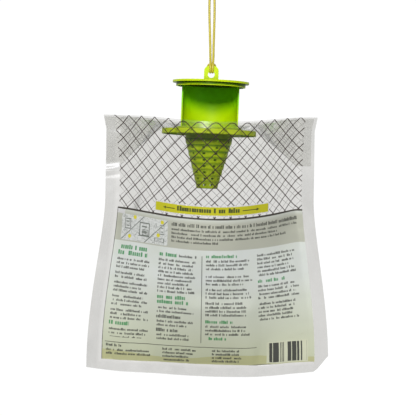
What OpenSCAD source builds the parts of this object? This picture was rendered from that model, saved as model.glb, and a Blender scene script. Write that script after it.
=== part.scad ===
// Hanging bag trap for flying insects: a film bag below a slide-up cap and a perforated entry cone.
// The origin is the centre of the cap's hang eye. +Z is up, and -Y is the printed back of the bag.

/* [Cap] */
// How far the lid stands out past its skirt
lid_over = 3; // [1.5:0.5:6]
// Thickness of the lid
lid_t = 1.8; // [1.2:0.1:3]
// Distance from the eye's centre down to the top of the lid
eye_height = 5.8; // [5:0.1:9]
// Height of the skirt
skirt_h = 2.9; // [2:0.1:4]
// Wall of the skirt
skirt_wall = 1.6; // [1:0.1:2]
// Width of the hang tab
tab_w = 12.4; // [11:0.1:16]
// Thickness of the hang tab
tab_t = 2.6; // [2:0.1:4]
// Height of the tab above the eye's centre
tab_rise = 7.4; // [6.5:0.1:10]
// Diameter of the hang eye
eye_d = 5.7; // [4.5:0.1:6.5]

/* [Entry shield] */
// Room between the cone's lip and the half-round shield
shield_room = 1.8; // [1:0.1:3]
// Wall of the shield
shield_wall = 1.2; // [0.9:0.1:1.6]
// Depth of the groove that holds the shield under the lid
groove_h = 2; // [1:0.1:2.4]
// Length of the snap barbs at the shield's lower end
barb_h = 2.4; // [1.5:0.1:3.5]
// How far each barb stands out
barb_out = 0.9; // [0.6:0.1:1.2]

/* [Funnel flange] */
// Diameter of the flange that the bag is welded to
flange_d = 80; // [76:0.5:82]
// Distance from the eye's centre down to the top of the flange
flange_drop = 47.3; // [44:0.1:54]
// Height of the flange's outer rim
flange_h = 4.1; // [3:0.1:6]
// Thickness of the flange's web and rim
flange_wall = 1.2; // [0.9:0.1:1.6]
// Room between the shield's slot and the bead round it
bead_room = 1.7; // [1.4:0.1:3]
// Height of the bead that the cap's skirt closes over
bead_h = 2.2; // [1:0.1:2.6]

/* [Entry cone] */
// Outer radius at the top of the cone
cone_top_r = 20; // [16:0.1:24]
// Outer radius at the open tip
cone_tip_r = 8.2; // [6:0.1:10]
// Length of the stepped part of the cone
cone_len = 42; // [34:0.5:50]
// Length of the plain collar above the steps
collar_len = 7.6; // [6.5:0.1:10]
// Wall of the cone
cone_wall = 1.1; // [0.8:0.1:1.4]
// Number of steps
tiers = 8; // [6:1:9]
// Air slots round each step
slots_round = 10; // [8:1:12]
// Width of an air slot
slot_w = 2.4; // [1.6:0.1:2.8]
// Height of an air slot
slot_h = 1.7; // [1:0.1:2]

/* [Bag] */
// Width of the bag laid flat
bag_w = 203; // [190:1:230]
// Distance from the eye's centre down to the lowest point of the bag
bag_drop = 256.5; // [230:0.5:300]
// Distance from the eye's centre down to the corners of the bag's open edge
edge_drop = 35.3; // [32:0.1:38]
// How much deeper the open edge lies at the middle than at its corners
edge_sag = 5.7; // [2:0.1:7]
// Width of the sealed margins at the sides
side_seal = 12.5; // [8:0.5:16]
// Height of the sealed margin at the lower end
end_seal = 10.5; // [8:0.5:14]
// Depth of the filled bag at the flange, front to back
bag_depth = 83; // [82.6:0.1:88]
// Depth of the side folds of the gusset, below the corners
fold_depth = 42; // [36:1:48]
// Thickness of the film
film_t = 0.3; // [0.2:0.05:0.4]
// Sideways lean of the bag against the cap, in millimetres for each metre
bag_lean = 25; // [0:1:30]

/* [Attractant sachet] */
// Width of the sachet
sachet_w = 58; // [50:1:62]
// Height of the sachet
sachet_h = 40; // [34:1:44]
// Thickness of the sachet
sachet_t = 7; // [5:0.1:8]
// Film of the sachet
sachet_film = 0.3; // [0.2:0.05:0.4]

/* [Hanging string] */
// Diameter of each strand
string_d = 2.1; // [1.6:0.1:2.2]
// Diameter of the knot
knot_d = 6.4; // [5.5:0.1:7.5]

/* [Fits] */
// Sliding clearance between the shield and its slot
slide_gap = 0.3; // [0.2:0.05:0.4]
// Gap between pieces that lie on each other
seat_gap = 0.1; // [0.05:0.05:0.2]
// Gap left under the skirt when the cap is shut
shut_gap = 0.5; // [0.3:0.1:1]

/* [Hidden] */
$fn = 96;

lid_top = -eye_height;
lid_under = lid_top - lid_t;
skirt_low = lid_under - skirt_h;
flange_top = -flange_drop;
web_low = flange_top - flange_wall;
rim_low = flange_top - flange_h;
travel = skirt_low - flange_top - shut_gap;

// From the cone outward: its lip, the shield in its slot, the bead, and the skirt that closes over it.
lip_t = 1.2;
lip_out = 1.4;
shield_in = cone_top_r + lip_out + shield_room;
shield_r = shield_in + shield_wall;
slot_in = shield_in - slide_gap;
slot_out = shield_r + slide_gap;
bead_wall = 1.2;
bead_r = slot_out + bead_room + bead_wall;
skirt_d = 2 * (bead_r + slide_gap + skirt_wall);
lid_d = skirt_d + 2 * lid_over;

shield_top = lid_under - seat_gap;
shield_low = web_low - seat_gap - barb_h;
groove_wall = 1;
edge_bead = 1.4;
barb_angle = 14;
barb_places = [35, 90, 145];

collar_low = flange_top - collar_len;
tier_h = cone_len / tiers;
tier_step = (cone_top_r - cone_tip_r) / tiers;
tier_draft = tier_step * 0.35;
slot_turn = -12.5;

half_flat = bag_w / 2 - side_seal;
belly_z = flange_top - 59;
flat_z = -bag_drop + end_seal;
half_deep = bag_depth / 2;
lean_in = 3;
fold_z = -edge_drop - fold_depth;
fold_room = 1.2;
corner_splay = 3;
seal_room = 0.15;
belly_power = 1.6;
bow_power = 1.25;
bow_length = 2.46;
corner_lift = 6.5;
hole_r = flange_d / 2 - 3;
fold_half = 0.8;
edge_seat = 0.8;

green = "#8fc400";
film_tone = [0.88, 0.88, 0.86, 0.6];
string_tone = "#beaf3c";

// ---- shared functions ----

function clamp01(v) = min(1, max(0, v));
function mix(a, b, t) = a + (b - a) * t;
function unit(v) = v / norm(v);
function flat(rows) = [for (row = rows) each row];

// Depth of half the bag at a height: widest at the flange, sealed flat at the lower end.
function half_depth(z) =
    z > flange_top ? half_deep - lean_in * clamp01((z - flange_top) / (flange_drop - edge_drop)) :
    z > belly_z ? half_deep :
    half_deep * (1 - pow(clamp01((belly_z - z) / (belly_z - flat_z)), belly_power));

// Half the distance between the seals, which shrinks as the film bows out by that depth.
function half_chord(deep) = (half_flat + sqrt(pow(half_flat, 2) - bow_length * pow(deep, 2))) / 2;
function bow(x, deep) = pow(max(0, 1 - pow(x / half_chord(deep), 2)), bow_power);

// Half the room between the two panels at the side seals, where the gusset's fold lies between them.
function seal_gap(z) =
    z > fold_z ? mix(fold_room, corner_splay, clamp01((z - fold_z) / fold_depth)) :
    mix(fold_room, seal_room, clamp01((fold_z - z) / 12));

function half_width(z) = half_chord(half_depth(z)) + side_seal;
function panel_y(x, z) = half_depth(z) * bow(x, half_depth(z)) + seal_gap(z);

// Open edge and lower edge of a panel; u runs from -1 to 1 across it.
function edge_z(u) = -edge_drop - edge_sag * (1 + cos(180 * u)) / 2;
function low_z(u) = -bag_drop + corner_lift * pow(u, 2);

// The bag hangs straight down while the cap tips a little, except where it is welded to the flange.
function leaned(p) =
    let (
        k = bag_lean / 1000,
        free = clamp01((norm([p.x, p.y]) - flange_d / 2 - 2) / 30),
        below = clamp01((rim_low - p.z) / 20)
    )
    [p.x - k * (p.z - flange_top) * max(free, below), p.y, p.z + k * p.x * free];

// ---- shared modules ----

// Closed sheet between two grids of points. Cells where open(i, j) holds are left out.
module sheet(upper, lower, open = function(i, j) false) {
    rows = len(upper);
    cols = len(upper[0]);
    n = rows * cols;
    function at(i, j) = i * cols + j;
    function gone(i, j) = i < 0 || j < 0 || i > rows - 2 || j > cols - 2 || open(i, j);
    polyhedron(
        points = concat(flat(upper), flat(lower)),
        faces = [
            for (i = [0 : rows - 2], j = [0 : cols - 2]) if (!gone(i, j)) each [
                [at(i, j), at(i, j + 1), at(i + 1, j + 1)],
                [at(i, j), at(i + 1, j + 1), at(i + 1, j)],
                [n + at(i, j), n + at(i + 1, j + 1), n + at(i, j + 1)],
                [n + at(i, j), n + at(i + 1, j), n + at(i + 1, j + 1)],
                if (gone(i - 1, j)) each wall(at(i, j + 1), at(i, j), n),
                if (gone(i + 1, j)) each wall(at(i + 1, j), at(i + 1, j + 1), n),
                if (gone(i, j - 1)) each wall(at(i, j), at(i + 1, j), n),
                if (gone(i, j + 1)) each wall(at(i + 1, j + 1), at(i, j + 1), n)
            ]
        ],
        convexity = 10);
}
function wall(a, b, n) = [[a, b, n + b], [a, n + b, n + a]];

// Round cord of a few flat sides, swept along a route.
module cord(route, d, sides = 8) {
    last = len(route) - 1;
    function heading(i) = unit(route[min(i + 1, last)] - route[max(i - 1, 0)]);
    function across(side, i) = unit(side - (side * heading(i)) * heading(i));
    sides_of = [for (i = 0, s = across([0.2, 1, 0.1], 0); i <= last;
        i = i + 1, s = across(s, min(i, last))) s];
    rings = [for (i = [0 : last])
        let (s = sides_of[i], t = cross(heading(i), s))
        [for (k = [0 : sides - 1]) route[i] + d / 2 * (cos(360 * k / sides) * s + sin(360 * k / sides) * t)]];
    polyhedron(
        points = flat(rings),
        faces = concat(
            [[for (k = [0 : sides - 1]) k]],
            [[for (k = [sides - 1 : -1 : 0]) last * sides + k]],
            [for (i = [0 : last - 1], k = [0 : sides - 1])
                let (a = i * sides + k, b = i * sides + (k + 1) % sides)
                each [[a, b + sides, b], [a, a + sides, b + sides]]]),
        convexity = 10);
}

module ring(r_out, r_in, h) {
    difference() {
        cylinder(r = r_out, h = h);
        translate([0, 0, -1]) cylinder(r = r_in, h = h + 2);
    }
}

// Half of a ring, on the side away from the printed back, widened by extra at its two ends.
module half_ring(r_out, r_in, h, extra = 0) {
    intersection() {
        ring(r_out, r_in, h);
        translate([-r_out - 1, -extra, -1]) cube([2 * r_out + 2, r_out + extra + 2, h + 2]);
    }
}

// ---- cap ----

module tab_outline() {
    corner = 4.5;
    difference() {
        union() {
            translate([-tab_w / 2, lid_top - 0.5]) square([tab_w, tab_rise - corner - lid_top + 0.5]);
            translate([-tab_w / 2 + corner, 0]) square([tab_w - 2 * corner, tab_rise]);
            for (side = [-1, 1])
                translate([side * (tab_w / 2 - corner), tab_rise - corner]) circle(r = corner);
        }
        circle(d = eye_d);
    }
}

module cap() {
    color(green) {
        difference() {
            translate([0, 0, lid_under]) cylinder(d = lid_d, h = lid_t);
            translate([0, 0, lid_top - 0.5]) ring(lid_d / 2 - 1.2, skirt_d / 2 - 4, 1);
        }
        translate([0, 0, skirt_low]) ring(skirt_d / 2, skirt_d / 2 - skirt_wall, skirt_h + 0.4);
        translate([0, tab_t / 2, 0]) rotate([90, 0, 0]) linear_extrude(tab_t) tab_outline();
        shield_groove();
    }
}

// Two ribs under the lid that grip the top of the entry shield.
module shield_groove() {
    out = shield_r + seat_gap;
    in = shield_in - seat_gap;
    translate([0, 0, lid_under - groove_h]) {
        half_ring(out + groove_wall, out, groove_h + 0.4);
        half_ring(in, in - groove_wall, groove_h + 0.4);
    }
}

// ---- entry shield ----

module entry_shield() {
    color(green) {
        translate([0, 0, shield_low]) half_ring(shield_r, shield_in, shield_top - shield_low);
        for (side = [-1, 1])
            translate([side * (shield_r - shield_wall / 2) - shield_wall / 2, -edge_bead, shield_low])
                cube([shield_wall, edge_bead, shield_top - shield_low]);
        for (place = barb_places)
            rotate([0, 0, place - barb_angle / 2]) barb();
    }
}

// Snap barb: square on top, where it catches under the flange, and sloped below.
module barb() {
    rotate_extrude(angle = barb_angle)
        polygon([
            [shield_r - 0.4, shield_low],
            [shield_r, shield_low],
            [shield_r + barb_out, shield_low + barb_h - 0.6],
            [shield_r + barb_out, shield_low + barb_h],
            [shield_r - 0.4, shield_low + barb_h]
        ]);
}

// ---- funnel flange ----

module funnel_flange() {
    cone_hole = cone_top_r + seat_gap;
    color(green) difference() {
        union() {
            translate([0, 0, web_low]) cylinder(d = flange_d, h = flange_wall);
            translate([0, 0, rim_low]) ring(flange_d / 2, flange_d / 2 - flange_wall, flange_h);
            translate([0, 0, rim_low]) ring(slot_out + 2.4, slot_out + 1.2, flange_h);
            translate([0, 0, flange_top - 0.4]) ring(bead_r, bead_r - bead_wall, bead_h + 0.4);
            for (turn = [0 : 30 : 330])
                rotate([0, 0, turn]) translate([slot_out + 2, -0.5, rim_low + 1])
                    cube([flange_d / 2 - slot_out - 2.6, 1, flange_h - 1.2]);
        }
        translate([0, 0, rim_low - 1]) cylinder(r = cone_hole, h = flange_h + bead_h + 2);
        translate([0, 0, rim_low - 1])
            half_ring(slot_out, slot_in, flange_h + bead_h + 2, edge_bead + slide_gap);
    }
}

// ---- entry cone ----

function tier_r(k) = cone_top_r - tier_step * k;
function tier_z(k) = collar_low - tier_h * k;

// Stepped wall: each tier runs down with a slight draft, then steps in to the next one.
module cone_profile() {
    outer = [for (k = [0 : tiers - 1]) each [
        [tier_r(k), tier_z(k)],
        [tier_r(k) - tier_draft, tier_z(k + 1) + tier_step]
    ]];
    inner = [for (k = [tiers - 1 : -1 : 0]) each [
        [tier_r(k) - tier_draft - cone_wall, tier_z(k + 1) + tier_step],
        [tier_r(k) - cone_wall, tier_z(k)]
    ]];
    polygon(concat(
        [[cone_top_r + lip_out, flange_top + lip_t], [cone_top_r + lip_out, flange_top],
         [cone_top_r, flange_top]],
        outer,
        [[cone_tip_r + tier_draft, tier_z(tiers)], [cone_tip_r + tier_draft - cone_wall, tier_z(tiers)]],
        inner,
        [[cone_top_r - cone_wall, flange_top + lip_t]]));
}

module entry_cone() {
    color(green) difference() {
        rotate_extrude() cone_profile();
        for (k = [0 : tiers - 1], turn = [0 : slots_round - 1])
            rotate([0, 0, 360 * turn / slots_round - 90 + slot_turn])
                translate([tier_r(k) - 3.2, -slot_w / 2, tier_z(k) - slot_h - 1.4])
                    cube([4, slot_w, slot_h]);
    }
}

// ---- bag ----

panel_cols = 28;
panel_rows = 18;

function panel_point(i, j, out) =
    let (
        u = 2 * i / panel_cols - 1,
        z = mix(edge_z(u), low_z(u), pow(j / panel_rows, 0.9)),
        x = u * half_width(z),
        near = half_depth(z) * bow(x, half_depth(z)),
        slope = (panel_y(x + 0.5, z) - panel_y(x - 0.5, z)),
        n = unit([-slope, 1, 0]) * out
    )
    leaned([x + n.x, near + seal_gap(z) + n.y, z]);

function panel_grid(out) =
    [for (i = [0 : panel_cols]) [for (j = [0 : panel_rows]) panel_point(i, j, out)]];

module panel() {
    sheet(panel_grid(film_t), panel_grid(0));
}

module front_film() {
    color(film_tone) panel();
}

module back_film() {
    color(film_tone) mirror([0, 1, 0]) panel();
}

// Gusset: from the panels' open edges in and down to the flange, with a valley fold at each side.
gusset_half = half_width(-edge_drop) - 0.4;
gusset_cols = 5;
side_rows = 9;
hole_rows = 16;
weld_x = flange_d / 2 + 1;
gusset_x = concat(
    [for (i = [0 : side_rows]) mix(-gusset_half, -weld_x, i / side_rows)],
    [for (i = [0 : hole_rows]) -hole_r * cos(180 * i / hole_rows)],
    [for (i = [0 : side_rows]) mix(weld_x, gusset_half, i / side_rows)]);

function gusset_point(x, v, over) =
    let (
        u = x / half_width(-edge_drop),
        top = edge_z(u) - 1.5,
        inner = max(fold_half, sqrt(max(0, pow(hole_r, 2) - pow(x, 2)))) - over,
        outer = panel_y(x, top) - edge_seat - over,
        drop = clamp01((abs(x) - weld_x) / (gusset_half - side_seal - weld_x)),
        low = mix(flange_top + seat_gap, fold_z + 0.5, drop) + over,
        bend = mix(3, 1, drop),
        z = mix(low, top, pow(abs(v), bend)),
        narrowing = mix(1, half_width(z) / half_width(-edge_drop), drop)
    )
    leaned([x * narrowing, sign(v) * mix(inner, outer, abs(v)), z]);

gusset_v = concat(
    [for (j = [gusset_cols : -1 : 0]) -max(j / gusset_cols, 0.0001)],
    [for (j = [0 : gusset_cols]) max(j / gusset_cols, 0.0001)]);

function gusset_grid(over) = [for (x = gusset_x) [for (v = gusset_v) gusset_point(x, v, over)]];

module gusset_film() {
    color(film_tone)
        sheet(gusset_grid(film_t), gusset_grid(0),
            function(i, j) j == gusset_cols && i > side_rows && i <= side_rows + hole_rows);
}

// ---- attractant sachet ----

sachet_rim = 0.6;
sachet_room = 0.25;

// Half the thickness of a pillow, for a and b from -1 to 1 across and up it.
function pillow_half(a, b, t, rim) = rim + (t / 2 - rim) * sqrt((1 - pow(abs(a), 4)) * (1 - pow(abs(b), 4)));

// The sachet slides down between the panels until it all but touches both.
function sachet_gap(low) = min([
    for (a = [0, 0.4, 0.8], b = [-1 : 0.2 : 1])
        panel_y(a * sachet_w / 2, low + sachet_h / 2 * (1 + b)) - pillow_half(a, b, sachet_t, sachet_rim)]);
sachet_low = [for (rise = [0 : 0.1 : 30]) if (sachet_gap(flat_z + rise) > sachet_room) flat_z + rise][0];
sachet_mid = [-bag_lean / 1000 * (sachet_low - flange_top), 0, sachet_low + sachet_h / 2];

// Pillow with flat sealed edges, standing on its lower edge.
module pillow(w, h, t, rim) {
    steps = 10;
    function point(i, j, side) =
        let (a = 2 * i / steps - 1, b = 2 * j / steps - 1)
        [w / 2 * a, side * pillow_half(a, b, t, rim), h / 2 * b];
    function grid(side) = [for (i = [0 : steps]) [for (j = [0 : steps]) point(i, j, side)]];
    sheet(grid(-1), grid(1));
}

module sachet_film() {
    color([0.9, 0.9, 0.82]) translate(sachet_mid) difference() {
        pillow(sachet_w, sachet_h, sachet_t, sachet_rim);
        powder_room(0);
    }
}

module powder_room(gap) {
    side = 2 * (4 + gap);
    pillow(sachet_w - side, sachet_h - side, sachet_t - 2 * (sachet_film + gap) - 1.2, 0.2);
}

module attractant_powder() {
    color([0.75, 0.62, 0.4]) translate(sachet_mid) powder_room(seat_gap);
}

// ---- hanging string ----

// One strand, from the knot down behind the tab, through the eye, up and over the tab, to the
// middle of the hitch's bight.
strand = [[-3.2, 0, 72], [-3.9, 0, 66], [-3.9, 0, 60], [-3.7, 0, 54], [-3.4, 0, 48], [-3, 0, 42],
    [-2.6, 0, 36], [-2.2, 0, 30], [-1.8, 0.2, 24], [-1.5, 0.6, 18], [-1.2, 1.4, 13], [-1, 2.1, 9],
    [-1, 2.4, 6], [-1, 2, 3.4], [-1, 0.9, 2.1], [-1, -0.9, 2.1], [-1, -2, 3.4], [-1, -2.4, 5.4],
    [-1, -1.9, 7.7], [-1.4, -0.4, 8.6], [-2.5, 1.2, 8.2], [-3.2, 2.8, 6.6], [-2.8, 4.2, 5.2],
    [-1.5, 4.9, 4.6], [0, 5, 4.5]];
lean_of_string = -0.0375;

// The other strand is its mirror image about the string's own slightly leaning line.
function other(p) = [2 * lean_of_string * max(0, p.z - 14) - p.x, p.y, p.z];

whole_string = concat(strand, [for (i = [len(strand) - 2 : -1 : 0]) other(strand[i])]);

module hanging_string() {
    color(string_tone) cord(whole_string, string_d);
}

knot_mid = [-2.2, 0, 74];

module string_knot() {
    color(string_tone) translate(knot_mid) sphere(d = knot_d);
}

loop_half = [[-3.6, 0, 76.2], [-4.6, 0, 80], [-6.2, 0, 84], [-7.4, 0, 88], [-7.4, 0, 92],
    [-5.8, 0, 95.4], [-2.2, 0, 97]];
loop_route = concat(loop_half, [for (i = [len(loop_half) - 2 : -1 : 0])
    [2 * knot_mid.x - loop_half[i].x, 0, loop_half[i].z]]);

module string_loop() {
    color(string_tone) cord(loop_route, string_d);
}

cap();
entry_shield();
funnel_flange();
entry_cone();
back_film();
front_film();
gusset_film();
sachet_film();
attractant_powder();
hanging_string();
string_knot();
string_loop();
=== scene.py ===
"""Looks of a hanging bag trap for flying insects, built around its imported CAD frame.

Lengths below are in millimetres, as in the CAD source, and become metres where a mesh is made.
The origin is the centre of the hang eye, +Z is up, and the printed back of the bag faces -Y.
"""
import math

import bpy
import numpy as np
from mathutils import Matrix, Vector


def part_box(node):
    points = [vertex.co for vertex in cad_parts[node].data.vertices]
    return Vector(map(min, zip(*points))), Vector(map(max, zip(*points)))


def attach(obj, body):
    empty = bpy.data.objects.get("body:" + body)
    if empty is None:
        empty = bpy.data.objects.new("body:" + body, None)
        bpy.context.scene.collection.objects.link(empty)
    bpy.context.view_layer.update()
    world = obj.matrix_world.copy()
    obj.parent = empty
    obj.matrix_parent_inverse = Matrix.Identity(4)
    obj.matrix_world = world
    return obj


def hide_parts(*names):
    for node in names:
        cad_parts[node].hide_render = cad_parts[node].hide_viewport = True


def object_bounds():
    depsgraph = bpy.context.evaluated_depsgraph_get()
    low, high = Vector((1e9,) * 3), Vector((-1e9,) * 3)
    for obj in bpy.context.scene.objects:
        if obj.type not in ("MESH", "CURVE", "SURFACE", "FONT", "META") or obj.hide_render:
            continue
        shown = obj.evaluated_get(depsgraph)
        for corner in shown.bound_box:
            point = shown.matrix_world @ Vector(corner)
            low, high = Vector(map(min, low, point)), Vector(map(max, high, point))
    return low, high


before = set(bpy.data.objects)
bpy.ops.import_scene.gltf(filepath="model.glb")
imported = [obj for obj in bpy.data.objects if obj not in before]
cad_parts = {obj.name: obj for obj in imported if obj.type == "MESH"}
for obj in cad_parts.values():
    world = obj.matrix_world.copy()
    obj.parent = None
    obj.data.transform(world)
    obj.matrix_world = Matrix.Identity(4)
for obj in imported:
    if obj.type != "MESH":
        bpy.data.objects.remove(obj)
cad_box = [list(corner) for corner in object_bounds()]
MM = 0.001


def box_mm(node):
    low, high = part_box(node)
    return np.array(low) / MM, np.array(high) / MM


# ---- camera: level, in front of the printed back, tipped a little as the trap hangs ----

CAMERA_AT = (1.66, -1750.0, -113.4)
PHOTO_WIDTH = 353.6      # width of the view at the trap's own distance
CAMERA_ROLL = math.radians(2.25)
SENSOR = 36.0


def add_camera():
    data = bpy.data.cameras.new("camera")
    data.sensor_width = SENSOR
    data.lens = SENSOR * -CAMERA_AT[1] / PHOTO_WIDTH
    camera = bpy.data.objects.new("camera", data)
    bpy.context.scene.collection.objects.link(camera)
    c, s = math.cos(CAMERA_ROLL), math.sin(CAMERA_ROLL)
    turn = Matrix(((c, -s, 0), (0, 0, -1), (s, c, 0)))
    camera.matrix_world = Matrix.Translation(Vector(CAMERA_AT) * MM) @ turn.to_4x4()
    bpy.context.scene.camera = camera


add_camera()


# ---- small helpers ----

def clamp01(v):
    return np.clip(v, 0.0, 1.0)


def mix(a, b, t):
    return a + (b - a) * t


def ramp(low, high, v):
    t = clamp01((v - low) / (high - low))
    return t * t * (3 - 2 * t)


def bell(v, middle, spread):
    return np.exp(-((v - middle) / spread) ** 2)


class Noise:
    """Smooth seeded noise from -1 to 1 on a plane."""

    SIZE = 64

    def __init__(self, seed):
        self.table = np.random.RandomState(seed).uniform(-1, 1, (self.SIZE, self.SIZE))

    def __call__(self, x, y):
        x, y = np.broadcast_arrays(np.asarray(x, float), np.asarray(y, float))
        i, j = np.floor(x).astype(int), np.floor(y).astype(int)
        fx, fy = x - i, y - j
        fx = fx ** 3 * (fx * (fx * 6 - 15) + 10)
        fy = fy ** 3 * (fy * (fy * 6 - 15) + 10)
        n = self.SIZE
        a, b = self.table[i % n, j % n], self.table[(i + 1) % n, j % n]
        c, d = self.table[i % n, (j + 1) % n], self.table[(i + 1) % n, (j + 1) % n]
        return mix(mix(a, b, fx), mix(c, d, fx), fy)

    def layers(self, x, y, count=3):
        return sum(self(x * 2 ** k + 7.3 * k, y * 2 ** k + 3.1 * k) / 2 ** k for k in range(count))


def link(obj):
    bpy.context.scene.collection.objects.link(obj)
    return obj


def mesh_from(name, points, faces, uv=None, floats=None, material=None):
    """A smooth mesh. points are in millimetres; uv and floats have one value for each point."""
    mesh = bpy.data.meshes.new(name)
    mesh.from_pydata((np.asarray(points) * MM).tolist(), [], faces)
    mesh.polygons.foreach_set("use_smooth", [True] * len(mesh.polygons))
    if uv is not None:
        corners = np.zeros(len(mesh.loops), int)
        mesh.loops.foreach_get("vertex_index", corners)
        layer = mesh.uv_layers.new(name="film")
        layer.data.foreach_set("uv", np.asarray(uv, np.float32)[corners].ravel())
    for key, values in (floats or {}).items():
        attribute = mesh.attributes.new(key, "FLOAT", "POINT")
        attribute.data.foreach_set("value", np.asarray(values, np.float32).ravel())
    if material:
        mesh.materials.append(material)
    mesh.update()
    return link(bpy.data.objects.new(name, mesh))


def grid_faces(rows, cols, skip=None):
    i, j = np.meshgrid(np.arange(rows - 1), np.arange(cols - 1), indexing="ij")
    a = i * cols + j
    quads = np.stack([a, a + 1, a + cols + 1, a + cols], -1)
    keep = np.ones(a.shape, bool) if skip is None else ~skip
    return quads[keep].tolist()


def grid_normals(points):
    along = np.gradient(points, axis=0)
    across = np.gradient(points, axis=1)
    n = np.cross(along, across)
    return n / np.maximum(np.linalg.norm(n, axis=-1, keepdims=True), 1e-9)


# ---- bag shape: formulas and values of the CAD source, but for EDGE_SAG, which is 5.7 there ----

BAG_W, BAG_DROP = 203.0, 256.5
EDGE_DROP, EDGE_SAG = 35.3, 6.3
SIDE_SEAL, END_SEAL = 12.5, 10.5
BAG_DEPTH, FOLD_DEPTH, BAG_LEAN = 83.0, 42.0, 25.0
FLANGE_D, FLANGE_DROP, FLANGE_H = 80.0, 47.3, 4.1
FOLD_ROOM, CORNER_SPLAY, SEAL_ROOM = 1.2, 3.0, 0.15
BELLY_POWER, BOW_POWER, BOW_LENGTH = 1.6, 1.25, 2.46
LEAN_IN, CORNER_LIFT, FOLD_HALF, EDGE_SEAT = 3.0, 6.5, 0.8, 0.8

flange_top = -FLANGE_DROP
rim_low = flange_top - FLANGE_H
half_flat = BAG_W / 2 - SIDE_SEAL
half_deep = BAG_DEPTH / 2
belly_z = flange_top - 59
flat_z = -BAG_DROP + END_SEAL
fold_z = -EDGE_DROP - FOLD_DEPTH
hole_r = FLANGE_D / 2 - 3
weld_x = FLANGE_D / 2 + 1


def half_depth(z):
    """Depth of half the bag: widest at the flange, sealed flat at the lower end."""
    above = half_deep - LEAN_IN * clamp01((z - flange_top) / (FLANGE_DROP - EDGE_DROP))
    below = half_deep * (1 - clamp01((belly_z - z) / (belly_z - flat_z)) ** BELLY_POWER)
    return np.where(z > flange_top, above, below)


def half_chord(deep):
    return (half_flat + np.sqrt(half_flat ** 2 - BOW_LENGTH * deep ** 2)) / 2


def bow(x, deep):
    return np.maximum(0, 1 - (x / half_chord(deep)) ** 2) ** BOW_POWER


def seal_gap(z):
    above = mix(FOLD_ROOM, CORNER_SPLAY, clamp01((z - fold_z) / FOLD_DEPTH))
    below = mix(FOLD_ROOM, SEAL_ROOM, clamp01((fold_z - z) / 12))
    return np.where(z > fold_z, above, below)


def half_width(z):
    return half_chord(half_depth(z)) + SIDE_SEAL


def panel_y(x, z):
    return half_depth(z) * bow(x, half_depth(z)) + seal_gap(z)


def edge_z(u):
    return -EDGE_DROP - EDGE_SAG * (1 + np.cos(np.pi * u)) / 2


def low_z(u):
    return -BAG_DROP + CORNER_LIFT * u ** 2


def leaned(x, y, z):
    """The bag hangs straight while the cap tips, except where it is welded to the flange."""
    k = BAG_LEAN / 1000
    free = clamp01((np.hypot(x, y) - FLANGE_D / 2 - 2) / 30)
    below = clamp01((rim_low - z) / 20)
    return np.stack([x - k * (z - flange_top) * np.maximum(free, below), y, z + k * x * free], -1)


# Sag of the printed lines at the film's top edge, at the label's top line and at the foot.
TOP_SAG, LINE_SAG, FOOT_SAG = 5.7, 9.5, 3.5
SAG_TOP, SAG_LINE, SAG_REACH = -41, -118, 127


def print_sag(z):
    """How much higher a printed line sits at the middle of the film than it hangs there."""
    upper = mix(TOP_SAG, LINE_SAG, ramp(SAG_TOP, SAG_LINE, z))
    lower = mix(LINE_SAG, FOOT_SAG, clamp01((SAG_LINE - z) / SAG_REACH))
    return np.where(z > SAG_LINE, upper, lower)


# ---- materials ----

def linear(red, green, blue):
    """A colour given in the usual 0 to 255 steps, as the shaders take it."""
    def one(v):
        v /= 255
        return v / 12.92 if v <= 0.04045 else ((v + 0.055) / 1.055) ** 2.4
    return (one(red), one(green), one(blue), 1.0)


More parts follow.
